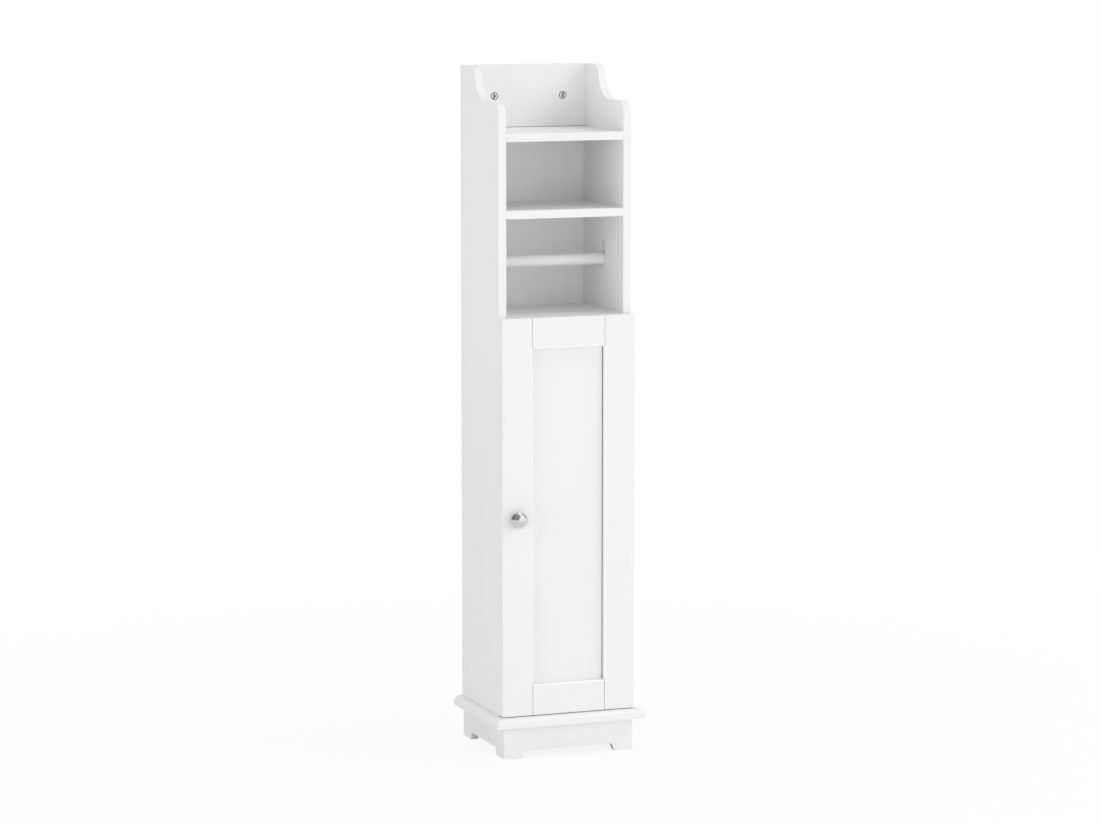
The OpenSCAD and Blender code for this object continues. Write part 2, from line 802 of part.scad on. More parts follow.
module arm_pins() color(nickel) at_hinges() {
  short_pins(outer_arm_pin);
  through_pin(inner_arm_pin);
}

// A U-shaped arm, open towards the side panel: two cheeks and a web
module hinge_arm() difference() {
  translate([0, 0, -arm_high]) linear_extrude(2 * arm_high) {
    translate(outer_arm_pin) circle(arm_front_r);
    polygon([[web_x, outer_arm_pin[1]], outer_arm_pin + [arm_front_r / sqrt(2), -arm_front_r / sqrt(2)],
             [arm_foot_x, arm_foot_y], [arm_foot_x, arm_back_y], [web_x, arm_back_y]]);
  }
  block([web_x + arm_t, front_y, -arm_low], [inner_half, back_y, arm_low]);
  block([web_x - over, front_y, -arm_low], [inner_half, web_front_y, arm_low]);
  pin_bore(outer_arm_pin);
  pin_bore(inner_arm_pin);
  for (y = arm_screw_ys) along_x(web_x - over, web_x + arm_t + over, y, 0, arm_screw_r + board_play);
}

module lower_hinge_arm() color(nickel) translate([0, 0, hinge_zs[0]]) hinge_arm();

module upper_hinge_arm() color(nickel) translate([0, 0, hinge_zs[1]]) hinge_arm();

module arm_screws() color(zinc) at_hinges() for (y = arm_screw_ys) {
  along_x(web_x - arm_screw_head_t, web_x, y, 0, arm_screw_head_r);
  along_x(web_x - seam, web_x - arm_screw_head_t + arm_screw_l, y, 0, arm_screw_r);
}

module place_plate_screws_of_one() for (z = [-plate_screw_rise, plate_screw_rise])
  translate([inner_half - plate_t, plate_screw_y, z]) rotate([0, 90, 0]) children();

module place_plate_screws() at_hinges() place_plate_screws_of_one() children();

// A plate on the side panel with a boss that the arm is screwed to
module mounting_plate() difference() {
  union() {
    block([inner_half - plate_t, plate_front_y, -plate_half], [inner_half, plate_back_y, plate_half]);
    block([web_x + arm_t, plate_front_y, -boss_half], [inner_half - seam, plate_back_y, boss_half]);
  }
  for (y = arm_screw_ys)
    along_x(web_x, web_x - arm_screw_head_t + arm_screw_l + board_play, y, 0, arm_screw_r + pin_play);
  place_plate_screws_of_one() wood_screw_hole(plate_screw_l);
}

module lower_mounting_plate() color(nickel) translate([0, 0, hinge_zs[0]]) mounting_plate();

module upper_mounting_plate() color(nickel) translate([0, 0, hinge_zs[1]]) mounting_plate();

module plate_screws() color(zinc) place_plate_screws() wood_screw(plate_screw_l);

// ---- Plinth ----

// Section through the moulded board from its rounded edge at low to high
module nose_section(low, high) difference() {
  translate([low, apron_h]) square([high - low, plinth_t]);
  difference() {
    translate([low - over, body_z - nose_curve_r]) square([nose_run + over, nose_curve_r + over]);
    translate([low + nose_run, body_z - nose_curve_r]) circle(nose_curve_r);
  }
}

module plinth_board() color(paint) {
  edge_x = apron_half + plinth_over;
  edge_y = apron_y - plinth_over;
  difference() {
    intersection() {
      extrude_x(-edge_x, edge_x) nose_section(edge_y, back_y);
      extrude_y(edge_y, back_y) {
        nose_section(-edge_x, seam);
        mirror([1, 0]) nose_section(-edge_x, seam);
      }
    }
    place_plinth_screws() wood_screw_hole(plinth_screw_l);
    place_block_screws() wood_screw_hole(block_screw_l);
  }
}

// Cut-out between two feet, half wide to each side, with sloping ends and round upper corners
module foot_cut(half) {
  slope_turn = atan(foot_slope / foot_cut_h);
  round_z = foot_cut_h - foot_fillet;
  round_x = half - foot_fillet / cos(slope_turn) - round_z * tan(slope_turn);
  polygon(concat([[-half, -over], [-half, 0]],
                 arc([-round_x, round_z], foot_fillet, 180 - slope_turn, 90),
                 arc([round_x, round_z], foot_fillet, 90, slope_turn),
                 [[half, 0], [half, -over]]));
}

// A board of the apron from its outline in plan
module apron_board(points) linear_extrude(apron_h) polygon(points);

module apron_front() color(paint) difference() {
  inner = apron_half - apron_t;
  apron_board([[-apron_half, apron_y], [apron_half, apron_y],
               [inner, apron_y + apron_t], [-inner, apron_y + apron_t]]);
  extrude_y(apron_y - over, apron_y + apron_t + over) foot_cut(apron_half - front_foot_w);
}

module apron_back() color(paint) difference() {
  inner = apron_half - apron_t;
  block([-inner, back_y - apron_t, 0], [inner, back_y, apron_h]);
  extrude_y(back_y - apron_t - over, back_y + over) foot_cut(apron_half - front_foot_w);
}

module apron_side() difference() {
  inner = apron_half - apron_t;
  apron_board([[apron_half, apron_y], [apron_half, back_y],
               [inner, back_y], [inner, apron_y + apron_t]]);
  translate([0, (apron_y + back_y) / 2, 0]) extrude_x(inner - over, apron_half + over)
    foot_cut((back_y - apron_y) / 2 - side_foot_w);
}

module apron_right() color(paint) apron_side();

module apron_left() color(paint) mirror([1, 0, 0]) apron_side();

module corner_blocks() color(beech) difference() {
  both_sides() for (y = block_ys)
    block([block_x, y, block_z], [block_x + block_w, y + block_w, apron_h]);
  place_block_screws() wood_screw_hole(block_screw_l);
}

module place_block_screws() both_sides() for (y = block_ys)
  translate([block_x + block_w / 2, y + block_w / 2, block_z]) children();

module block_screws() color(zinc) place_block_screws() wood_screw(block_screw_l);

module place_plinth_screws() both_sides() for (y = plinth_screw_ys)
  translate([plinth_screw_x, y, apron_h]) children();

module plinth_screws() color(zinc) place_plinth_screws() wood_screw(plinth_screw_l);

side_panel_left();
side_panel_right();
tray_back();
back_board();
back_nails();
tray_shelf();
middle_shelf();
cabinet_top();
cabinet_bottom();
inner_shelf();
shelf_pins();
wood_dowels();
cam_bolts();
cam_locks();
roll_bar();
door_stile_left();
door_stile_right();
door_rail_top();
door_rail_bottom();
door_panel();
door_dowels();
knob();
knob_screw();
bumper_pads();
lower_hinge_cup();
upper_hinge_cup();
cup_screws();
cup_pins();
lower_outer_link();
upper_outer_link();
lower_inner_link();
upper_inner_link();
lower_hinge_arm();
upper_hinge_arm();
arm_pins();
arm_screws();
lower_mounting_plate();
upper_mounting_plate();
plate_screws();
plinth_board();
apron_front();
apron_left();
apron_right();
apron_back();
corner_blocks();
plinth_screws();
block_screws();
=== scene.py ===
"""A narrow free-standing cabinet: a scalloped tray on top, an open bay, a bay with a roll bar, and a
cupboard with a framed door, on a moulded plinth with bracket feet. Metres, +Z up."""

import math

import bmesh
import bpy
from mathutils import Matrix, Vector


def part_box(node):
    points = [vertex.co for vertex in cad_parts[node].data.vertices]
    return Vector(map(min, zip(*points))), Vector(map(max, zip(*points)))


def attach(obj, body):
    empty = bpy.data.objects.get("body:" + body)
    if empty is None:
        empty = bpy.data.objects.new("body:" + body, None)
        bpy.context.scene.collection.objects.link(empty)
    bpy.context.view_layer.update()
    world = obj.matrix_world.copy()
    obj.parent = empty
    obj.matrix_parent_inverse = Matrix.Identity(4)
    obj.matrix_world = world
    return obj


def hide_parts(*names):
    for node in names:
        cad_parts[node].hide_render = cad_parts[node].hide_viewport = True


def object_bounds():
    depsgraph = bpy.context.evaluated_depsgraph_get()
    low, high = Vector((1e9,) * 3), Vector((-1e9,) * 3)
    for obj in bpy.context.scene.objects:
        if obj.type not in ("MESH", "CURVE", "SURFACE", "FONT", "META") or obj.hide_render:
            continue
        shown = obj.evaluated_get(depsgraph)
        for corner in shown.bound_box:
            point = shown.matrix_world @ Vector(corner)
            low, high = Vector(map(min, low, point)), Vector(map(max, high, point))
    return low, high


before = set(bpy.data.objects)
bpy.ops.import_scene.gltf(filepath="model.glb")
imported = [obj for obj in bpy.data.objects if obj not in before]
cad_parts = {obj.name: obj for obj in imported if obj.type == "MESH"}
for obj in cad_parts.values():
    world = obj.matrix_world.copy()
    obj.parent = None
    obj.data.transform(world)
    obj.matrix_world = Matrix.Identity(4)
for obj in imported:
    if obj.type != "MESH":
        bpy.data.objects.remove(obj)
cad_low, cad_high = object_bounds()

MM = 0.001
ACROSS = Vector((1, 0, 0))
BACKWARD = Vector((0, 1, 0))
UP = Vector((0, 0, 1))

# How near a place counts as on an edge, and as on a face that fine roundings border
ON_EDGE = 0.1 * MM
ON_FACE = 0.05 * MM

# How near points are merged, how well a normal has to follow a direction, and how far outside a face a
# cutting tool starts
MERGE = 0.001 * MM
ALIGNED = 0.99
OVERCUT = 1 * MM

# ---- Places taken from the frame ----

PANEL_LOW, PANEL_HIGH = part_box("side_panel_right")
INNER_X, OUTER_X = PANEL_LOW.x, PANEL_HIGH.x
FRONT_Y, BACK_Y = PANEL_LOW.y, PANEL_HIGH.y
BODY_Z, TOP_Z = PANEL_LOW.z, PANEL_HIGH.z
MIDDLE_Y = (FRONT_Y + BACK_Y) / 2
BOARD_T = OUTER_X - INNER_X
TRAY_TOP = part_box("tray_back")[0].z
BACK_BOARD_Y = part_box("back_board")[0].y
BAR_LOW, BAR_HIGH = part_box("roll_bar")
STILE_LOW, STILE_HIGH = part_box("door_stile_right")
PANEL_FACE_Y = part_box("door_panel")[0].y
KNOB_LOW, KNOB_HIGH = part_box("knob")
KNOB_MIDDLE = (KNOB_LOW + KNOB_HIGH) / 2
PLINTH_LOW, PLINTH_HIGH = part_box("plinth_board")
APRON_LOW, APRON_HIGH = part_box("apron_front")
CUP_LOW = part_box("lower_hinge_cup")[0]

# ---- Sizes of the painted boards ----

# Worn-down edges of the boards, rounded edges round the door and round its opening, edges of thin strips,
# and the least turn of an edge that is rounded, in degrees
EDGE = 0.45 * MM
DOOR_EDGE = 1.1 * MM
OPENING_EDGE = 1.8 * MM
FINE_EDGE = 0.25 * MM
EDGE_ANGLE = 32

# The scalloped top edge of a side panel
SCALLOP_DROP = 49 * MM
SCALLOP_RUN = 121 * MM
CURVE_W = 61 * MM
CREST_R = 22 * MM
NOSE_R = 17 * MM
SHOULDER_Z = TOP_Z - SCALLOP_DROP
CURVE_TURN = 2 * math.degrees(math.atan(SCALLOP_DROP / CURVE_W))
HOLLOW_R = CURVE_W / math.sin(math.radians(CURVE_TURN)) - CREST_R
CREST_Y = FRONT_Y + SCALLOP_RUN
HOLLOW_Y = CREST_Y - CURVE_W

# The step for the back board and the blind slots of the roll bar
BACK_STEP_W = 6 * MM
SLOT_DEPTH = 7 * MM
SLOT_PLAY = 1.5 * MM
SLOT_LOW_OVER = 0.45 * MM
SLOT_TRAVEL = 18.1 * MM
BAR_CHAMFER = 1 * MM

# The joint that shows as a line where the tray's back stands on the shelf
TRAY_BACK_GAP = 0.5 * MM

# Cam locks, and the plays round and behind what lies in a bore
CAM_R = 5.6 * MM
CAM_H = 9 * MM
CAM_SETBACK = 36.5 * MM
CAM_RISE = 46 * MM
CAM_X = INNER_X - CAM_SETBACK
HOLE_PLAY = 0.1 * MM
DEPTH_PLAY = 0.2 * MM

# The door: the steps at the back of its frame, the gaps in its joints, the grooves in its panel, its opening
# and the bores of the hinge cups
PANEL_STEP = 6 * MM
JOINT_GAP = 0.45 * MM
GROOVE_W = 1.2 * MM
GROOVE_DEPTH = 2.2 * MM
RAIL_HALF = STILE_LOW.x
OPENING_ZS = (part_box("door_rail_bottom")[1].z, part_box("door_rail_top")[0].z)
CUP_R = 17.5 * MM
CUP_SETBACK = 3 * MM
CUP_X = OUTER_X - CUP_SETBACK - CUP_R
HINGE_ZS = [(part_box(cup)[0].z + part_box(cup)[1].z) / 2 for cup in ("lower_hinge_cup", "upper_hinge_cup")]

# The plinth: the rounded slope of its moulding, and the cut-outs between its feet
MOULDING_RUN = 10 * MM
MOULDING_R = 11.8 * MM
MOULDING_STEPS = 12
APRON_T = 12 * MM
FOOT_CUT_H = 11.3 * MM
FRONT_FOOT_W = 27.3 * MM
SIDE_FOOT_W = 32.5 * MM
FOOT_SLOPE = 4.2 * MM
FOOT_FILLET = 4 * MM

# The knob: heights from the door's face, the width of its brushed rings, and the points of its rolled rim
# from the neck to the groove
KNOB_FOOT_R = 7.5 * MM
KNOB_FOOT_T = 1.4 * MM
KNOB_NECK_R = 5 * MM
KNOB_WAIST = 7.5 * MM
KNOB_RIM = 12 * MM
KNOB_DOME_H = 8.5 * MM
KNOB_GROOVE_R = 11.5 * MM
KNOB_RING_W = 0.25 * MM
KNOB_BEAD = [(radius * MM, reach * MM) for radius, reach in
             ((12.3, 12), (12.8, 12.3), (13, 12.9), (12.85, 13.6), (12.5, 14.3), (12, 14.9), (11.7, 15))]

# The gap that shows round a cam lock, the depth over which painted shade darkens its recess, its sunk face,
# its cross and its arrow, and how far the cams are turned on the two sides
CAM_GAP = 0.9 * MM
CAM_SHADE_Z = 1.2 * MM
CAM_RIM = 0.5 * MM
CAM_SINK = 0.2 * MM
CAM_CROSS_L = 4.4 * MM
CAM_CROSS_W = 0.8 * MM
CAM_CROSS_DEPTH = 0.8 * MM
CAM_ARROW_L = 4.6 * MM
CAM_ARROW_TIP = CAM_ARROW_L / 3
CAM_ARROW_W = 1.9 * MM
CAM_ARROW_DEPTH = 8 * MM
CAM_TURNS = {-1: math.radians(4), 1: math.radians(187)}

# The level boards that the cam locks hold
LEVEL_BOARDS = ("tray_shelf", "middle_shelf", "cabinet_top", "cabinet_bottom")

# ---- Tones of the finishes ----

# The two tones that each finish drifts between
PAINT_TONES = ((0.885, 0.882, 0.885), (0.91, 0.902, 0.904))
KNOB_TONES = ((0.8, 0.795, 0.785), (0.86, 0.855, 0.845))
HINGE_TONES = ((0.68, 0.675, 0.66), (0.78, 0.775, 0.76))
ZINC_TONES = ((0.8, 0.81, 0.83), (0.95, 0.955, 0.96))
BEECH_TONES = ((0.66, 0.47, 0.27), (0.42, 0.26, 0.13))
FELT_TONES = ((0.62, 0.61, 0.58), (0.8, 0.79, 0.76))

# The painted highlight on rounded edges, the dark raw-board tone that is both raw board and painted shade,
# and the painted shade deep in a cam's recess
PAINTED_HIGHLIGHT_TONE = (0.99, 0.985, 0.987)
RAW_AND_SHADE_TONE = (0.24, 0.2, 0.17)
RECESS_SHADE_TONE = (0.03, 0.03, 0.035)

# ---- Camera, lamps and floor ----

# The camera: its place, its turn and its dip in degrees, its lens and sensor in millimetres, and how far
# it sees
CAMERA_PLACE = (-1.9330, -5.1762, 1.2316)
CAMERA_YAW = 20.480
CAMERA_PITCH = 7.586
CAMERA_LENS = 124.58
CAMERA_REACH = 500
SENSOR_W = 36

# The soft lamps, each with its place, width and power in watts, and the light of the room around
LAMPS = {"key": ((1.9, -2.7, 1.2), 1.6, 12), "low_front": ((-0.6, -3, 0.5), 1.5, 11),
         "high_right": ((1.8, -0.6, 2.8), 1.6, 23), "left": ((-3, -1.2, 0.9), 2, 20)}
AMBIENT = 0.64

# Grey cards that only shiny surfaces mirror, as in a studio: centre, width, height and tone. The last one
# lies on the floor
GREY_CARDS = {"left_card": ((-1.1, -0.95, 1.6), 3.4, 3, 0.3),
              "far_left_card": ((-1.7, 0.35, 1.6), 1.9, 3, 0.08),
              "right_card": ((2.3, -0.22, 1.7), 0.55, 3, 0.08),
              "low_card": ((0, 0, 0.002), 7, 7, 0.8)}

# The floor: its width, its tone, how white it looks under the cabinet, and how far off it is quite white
FLOOR_SIZE = 400
FLOOR_TONE = 0.93
FLOOR_GLOW = 0.88
FLOOR_FADE = 1.5


# ---- Working in edit mode ----

def clear_selection():
    bpy.ops.object.select_all(action="DESELECT")


def take(piece):
    """Makes a piece the only one selected, and the active one."""
    clear_selection()
    piece.select_set(True)
    bpy.context.view_layer.objects.active = piece


def name_new(name):
    """Names the shape just added and brings its place into its mesh."""
    piece = bpy.context.object
    piece.name = piece.data.name = name
    bpy.ops.object.transform_apply(location=True, rotation=True, scale=True)
    return piece


def open_piece(piece):
    take(piece)
    bpy.ops.object.mode_set(mode="EDIT")
    bpy.ops.mesh.select_all(action="DESELECT")


def close_piece():
    """Points all faces outwards and leaves edit mode."""
    bpy.ops.mesh.select_all(action="SELECT")
    bpy.ops.mesh.remove_doubles(threshold=MERGE)
    bpy.ops.mesh.normals_make_consistent(inside=False)
    bpy.ops.object.mode_set(mode="OBJECT")


def select_where(part, test):
    """Selects the faces, edges or vertices of the open piece that pass a test."""
    bpy.ops.mesh.select_mode(type={"faces": "FACE", "edges": "EDGE", "verts": "VERT"}[part])
    bpy.ops.mesh.select_all(action="DESELECT")
    mesh = bmesh.from_edit_mesh(bpy.context.object.data)
    for item in getattr(mesh, part):
        if test(item):
            item.select_set(True)
    mesh.select_flush_mode()
    bmesh.update_edit_mesh(bpy.context.object.data)


def select_faces(normal, test=lambda place: True):
    """Selects the faces that look along a normal and whose middle passes a test."""
    select_where("faces", lambda face: face.normal.dot(normal) > ALIGNED
                 and test(face.calc_center_median()))


def push(offset):
    """Extrudes what is selected."""
    bpy.ops.mesh.extrude_region_move(TRANSFORM_OT_translate={"value": offset})


def slide(offset):
    bpy.ops.transform.translate(value=offset)


def cut_through(place, normal):
    """Adds the edges of a plane through the open piece."""
    bpy.ops.mesh.select_all(action="SELECT")
    bpy.ops.mesh.bisect(plane_co=place, plane_no=normal)


# ---- Starting shapes and finishing steps ----

def block(name, low, high):
    clear_selection()
    low, high = Vector(low), Vector(high)
    bpy.ops.mesh.primitive_cube_add(size=1, location=(low + high) / 2, scale=high - low)
    return name_new(name)


def rod(name, middle, length, radius, turn=(0, 0, 0), sides=48):
    clear_selection()
    bpy.ops.mesh.primitive_cylinder_add(vertices=sides, radius=radius, depth=length,
                                        location=middle, rotation=turn)
    return name_new(name)


class Outline:
    """An outline drawn from one point by lines and arcs, in the plane of two directions through an origin."""

    def __init__(self, name, start, across, up, origin=(0, 0, 0)):
        self.across, self.up, self.origin = across, up, Vector(origin)
        self.axis = across.cross(up)
        self.here = Vector(start)
        clear_selection()
        bpy.ops.mesh.primitive_plane_add(size=MM, location=self.spot(start))
        self.piece = name_new(name)
        bpy.ops.object.mode_set(mode="EDIT")
        bpy.ops.mesh.select_mode(type="VERT")
        bpy.ops.mesh.select_all(action="SELECT")
        bpy.ops.mesh.merge(type="CENTER")

    def spot(self, point):
        return self.origin + self.across * point[0] + self.up * point[1]

    def line(self, *end):
        offset = self.spot(end) - self.spot(self.here)
        bpy.ops.mesh.extrude_vertices_move(TRANSFORM_OT_translate={"value": offset})
        self.here = Vector(end)

    def arc(self, centre, degrees, steps=12):
        """Goes on along an arc, anticlockwise where degrees is above 0."""
        turn = math.radians(degrees)
        bpy.ops.mesh.spin(steps=steps, angle=-turn, center=self.spot(centre), axis=self.axis)
        arm = self.here - Vector(centre)
        arm.rotate(Matrix.Rotation(turn, 2))
        self.here = Vector(centre) + arm

    def board(self, thickness):
        """Fills the outline, gives it a thickness and returns the piece."""
        bpy.ops.mesh.select_all(action="SELECT")
        bpy.ops.mesh.remove_doubles(threshold=MERGE)
        bpy.ops.mesh.edge_face_add()
        push(thickness)
        close_piece()
        return self.piece

    def lathe(self, steps=72):
        """Turns the outline once round its up direction through its origin, and returns the piece."""
        bpy.ops.mesh.select_all(action="SELECT")
        bpy.ops.mesh.spin(steps=steps, angle=2 * math.pi, center=self.origin, axis=self.up)
        close_piece()
        return self.piece


def apply_modifier(piece, kind, **settings):
    take(piece)
    step = piece.modifiers.new(kind.lower(), kind)
    for name, value in settings.items():
        setattr(step, name, value)
    bpy.ops.object.modifier_apply(modifier=step.name)


def cut_away(piece, tool):
    """Takes the shape of a tool out of a piece."""
    apply_modifier(piece, "BOOLEAN", operation="DIFFERENCE", object=tool, solver="EXACT")
    bpy.data.objects.remove(tool)


def mark_faces(piece, name, test):
    """Marks the faces whose middle passes a test, for the paint to read: raw board with painted shade, or a
    painted highlight on an edge.
    """
    marks = piece.data.attributes.get(name) or piece.data.attributes.new(name, "FLOAT", "FACE")
    for face, mark in zip(piece.data.polygons, marks.data):
        if test(face.center):
            mark.value = 1


def bore(piece, mouth, direction, depth, radius):
    """Drills a round blind hole from a point on a face; its walls get the dark raw-board tone, which is both
    raw board and painted shade inside the hole.
    """
    mouth, direction = Vector(mouth), Vector(direction)
    middle = mouth + direction * (depth - OVERCUT) / 2
    turn = UP.rotation_difference(direction).to_euler()
    cut_away(piece, rod("drill", middle, depth + OVERCUT, radius, turn))

    def in_hole(place):
        along = (place - mouth).dot(direction)
        return along > ON_EDGE and (place - mouth - direction * along).length < radius + ON_EDGE

    # Raw board and painted shade: the hole's walls take the dark raw-board tone
    mark_faces(piece, "raw_and_shade", in_hole)


def soften(piece, width=EDGE, segments=3):
    """Rounds the edges of a board a little, and merges the points that a rounding leaves doubled."""
    apply_modifier(piece, "BEVEL", width=width, segments=segments, limit_method="ANGLE",
                   angle_limit=math.radians(EDGE_ANGLE), miter_outer="MITER_ARC")
    open_piece(piece)
    close_piece()
    even_light(piece)


def even_light(piece):
    """Shades the roundings smoothly and keeps the large faces flat in the light."""
    smooth(piece)
    apply_modifier(piece, "WEIGHTED_NORMAL", keep_sharp=True, weight=100)


def round_edges(piece, width, test):
    """Rounds the edges whose two ends pass a test."""
    open_piece(piece)
    select_where("edges", lambda edge: all(test(vert.co) for vert in edge.verts))
    bpy.ops.mesh.bevel(offset=width, segments=4, affect="EDGES")
    close_piece()


def smooth(piece, degrees=40):
    take(piece)
    bpy.ops.object.shade_smooth_by_angle(angle=math.radians(degrees))


def fit(piece, finish, body, *nodes):
    """Gives a finished piece its finish and its body, and takes over the solids it stands for."""
    piece.data.materials.clear()
    piece.data.materials.append(FINISHES[finish])
    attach(piece, body)
    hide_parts(*nodes)


# ---- Finishes ----

class Shade:
    """A value among the nodes, on which plain arithmetic adds the nodes for it."""

    def __init__(self, tree, socket):
        self.tree, self.socket = tree, socket

    def reckon(self, operation, first, second):
        return self.tree.node("ShaderNodeMath", {"operation": operation}, {0: first, 1: second})

    def __add__(self, other):
        return self.reckon("ADD", self, other)

    def __sub__(self, other):
        return self.reckon("SUBTRACT", self, other)

    def __rsub__(self, other):
        return self.reckon("SUBTRACT", other, self)

    def __mul__(self, other):
        return self.reckon("MULTIPLY", self, other)

    def __pow__(self, other):
        return self.reckon("POWER", self, other)

    def at_most(self, other):
        return self.reckon("MINIMUM", self, other)

    def at_least(self, other):
        return self.reckon("MAXIMUM", self, other)

    __radd__ = __add__
    __rmul__ = __mul__


class Tree:
    """The nodes behind a finish, the floor or the sky."""

    def __init__(self, owner):
        owner.use_nodes = True
        self.nodes, self.links = owner.node_tree.nodes, owner.node_tree.links

    def feed(self, socket, value):
        if isinstance(value, Shade):
            self.links.new(value.socket, socket)
        else:
            socket.default_value = value

    def node(self, kind, settings, inputs, output=0):
        """Adds a node and returns one of its outputs, or None where it has no output."""
        made = self.nodes.new(kind)
        for name, value in settings.items():
            setattr(made, name, value)
        for name, value in inputs.items():
            self.feed(made.inputs[name], value)
        return Shade(self, made.outputs[output]) if made.outputs else None

    def coordinates(self):
        return self.node("ShaderNodeTexCoord", {}, {}, "Object")

    def vector(self, operation, first, second):
        return self.node("ShaderNodeVectorMath", {"operation": operation}, {0: first, 1: second})

    def length(self, vector):
        return self.node("ShaderNodeVectorMath", {"operation": "LENGTH"}, {0: vector}, "Value")


class Finish(Tree):
    """A material and its skin, which its values feed."""

    def __init__(self, name, metallic=0):
        self.material = bpy.data.materials.new(name)
        super().__init__(self.material)
        self.skin = self.nodes["Principled BSDF"]
        self.feed(self.skin.inputs["Metallic"], metallic)

    def place(self, stretch=(1, 1, 1)):
        """Object coordinates, stretched."""
        return self.node("ShaderNodeMapping", {}, {"Vector": self.coordinates(), "Scale": stretch})

    def marked(self, name):
        """How strongly a piece is marked with an attribute, from 0 to 1."""
        return self.node("ShaderNodeAttribute", {"attribute_name": name}, {}, "Fac")

    def grain(self, place, size, detail=3, roughness=0.5):
        """Noise from 0 to 1 with spots of about the given size."""
        return self.node("ShaderNodeTexNoise", {},
                         {"Vector": place, "Scale": 1 / size, "Detail": detail, "Roughness": roughness})

    def between(self, share, first, second):
        """A colour between two others, each a colour in the finish or its red, green and blue."""
        first, second = (tone if isinstance(tone, Shade) else (*tone, 1) for tone in (first, second))
        return self.node("ShaderNodeMix", {"data_type": "RGBA"}, {"Factor": share, 6: first, 7: second}, 2)

    def colour(self, value):
        self.feed(self.skin.inputs["Base Color"], value)

    def roughness(self, value):
        self.feed(self.skin.inputs["Roughness"], value)

    def relief(self, height, strength, depth):
        bump = self.node("ShaderNodeBump", {}, {"Height": height, "Strength": strength, "Distance": depth})
        self.feed(self.skin.inputs["Normal"], bump)


def white_paint():
    """Sprayed satin paint on board: almost even, with a faint drift of tone and a fine skin.
    A painted highlight whitens the rounded edges round the door's opening. A dark raw-board tone paints the
    shade in grooves, joints and under the door, and stands for both raw board and its shade in bores."""
    paint = Finish("white_paint")
    place = paint.place()
    drift = paint.grain(place, size=140 * MM, detail=2)
    speckle = paint.grain(place, size=1.6 * MM, detail=2)
    coat = paint.between(drift * 0.7 + speckle * 0.3, *PAINT_TONES)
    # Painted highlight: the marked rounded edges round the door's opening are painted whiter
    coat = paint.between(paint.marked("painted_highlight"), coat, PAINTED_HIGHLIGHT_TONE)
    # Painted shade: marked faces take a dark raw-board tone in bores, grooves, joints and under the door
    paint.colour(paint.between(paint.marked("raw_and_shade"), coat, RAW_AND_SHADE_TONE))
    paint.roughness(0.36 + drift * 0.1 + speckle * 0.06)
    paint.relief(speckle, strength=0.05, depth=0.1 * MM)
    return paint.material


def satin_nickel():
    """Turned and brushed knob metal: fine rings round its axis."""
    nickel = Finish("satin_nickel", metallic=1)
    at = nickel.coordinates()
    from_axis = nickel.vector("SUBTRACT", at, (KNOB_MIDDLE.x, 0, KNOB_MIDDLE.z))
    radius = nickel.length(nickel.vector("MULTIPLY", from_axis, (1, 0, 1)))
    rings = nickel.node("ShaderNodeTexNoise", {"noise_dimensions": "1D"},
                        {"W": radius, "Scale": 1 / KNOB_RING_W, "Detail": 2})
    cloud = nickel.grain(at, size=5 * MM, detail=2)
    nickel.colour(nickel.between(cloud, *KNOB_TONES))
    nickel.roughness(0.1 + rings * 0.08 + cloud * 0.04)
    nickel.relief(rings, strength=0.08, depth=0.05 * MM)
    return nickel.material


def bright_nickel():
    """Plated sheet steel of the hinges: smooth, with faint rolling marks."""
    plate = Finish("bright_nickel", metallic=1)
    marks = plate.grain(plate.place(stretch=(1, 1, 0.15)), size=0.8 * MM)
    cloud = plate.grain(plate.place(), size=9 * MM)
    plate.colour(plate.between(cloud, *HINGE_TONES))
    plate.roughness(0.16 + marks * 0.1 + cloud * 0.08)
    plate.relief(marks, strength=0.06, depth=0.05 * MM)
    return plate.material


def zinc_plate():
    """Bluish plating of cast and turned small parts, with painted shade that darkens the depth of a cam's
    recess and the gap round it.
    """
    zinc = Finish("zinc_plate", metallic=1)
    crystals = zinc.grain(zinc.place(), size=1.2 * MM, detail=4, roughness=0.6)
    cloud = zinc.grain(zinc.place(), size=6 * MM, detail=2)
    shine = zinc.between(crystals * 0.6 + cloud * 0.4, *ZINC_TONES)
    # Painted shade: the cam's colour runs to near black with depth into its recess and down its sides
    zinc.colour(zinc.between(zinc.marked("depth"), shine, RECESS_SHADE_TONE))
    zinc.roughness(0.2 + crystals * 0.16)
    zinc.relief(crystals, strength=0.15, depth=0.05 * MM)
    return zinc.material


def beech():
    """Bare beech: long fibres and short dark flecks."""
    wood = Finish("beech")
    fibres = wood.grain(wood.place(stretch=(1, 1, 0.06)), size=0.7 * MM)
    bands = wood.grain(wood.place(stretch=(1, 1, 0.1)), size=6 * MM)
    flecks = wood.grain(wood.place(stretch=(1, 1, 0.2)), size=1.4 * MM, detail=1) ** 4
    figure = fibres * 0.4 + bands * 0.4 + flecks * 0.8
    wood.colour(wood.between(figure, *BEECH_TONES))
    wood.roughness(0.55 + fibres * 0.2)
    wood.relief(fibres, strength=0.3, depth=0.1 * MM)
    return wood.material


def felt():
    """Short pressed fibres of the bumper pads."""
    pad = Finish("felt")
    fibres = pad.grain(pad.place(), size=0.35 * MM, detail=5, roughness=0.7)
    clumps = pad.grain(pad.place(), size=1.8 * MM)
    pad.colour(pad.between(fibres * 0.6 + clumps * 0.4, *FELT_TONES))
    pad.roughness(0.85 + fibres * 0.15)
    pad.relief(fibres, strength=0.6, depth=0.2 * MM)
    return pad.material


# What each solid's slot asks for is read before the plain materials leave their names to the finishes
SLOTS = {name: solid.data.materials[0].name for name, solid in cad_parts.items()}
for plain in bpy.data.materials:
    plain.name = "plain_" + plain.name
FINISHES = {make.__name__: make()
            for make in (white_paint, satin_nickel, bright_nickel, zinc_plate, beech, felt)}


# ---- Side panels ----

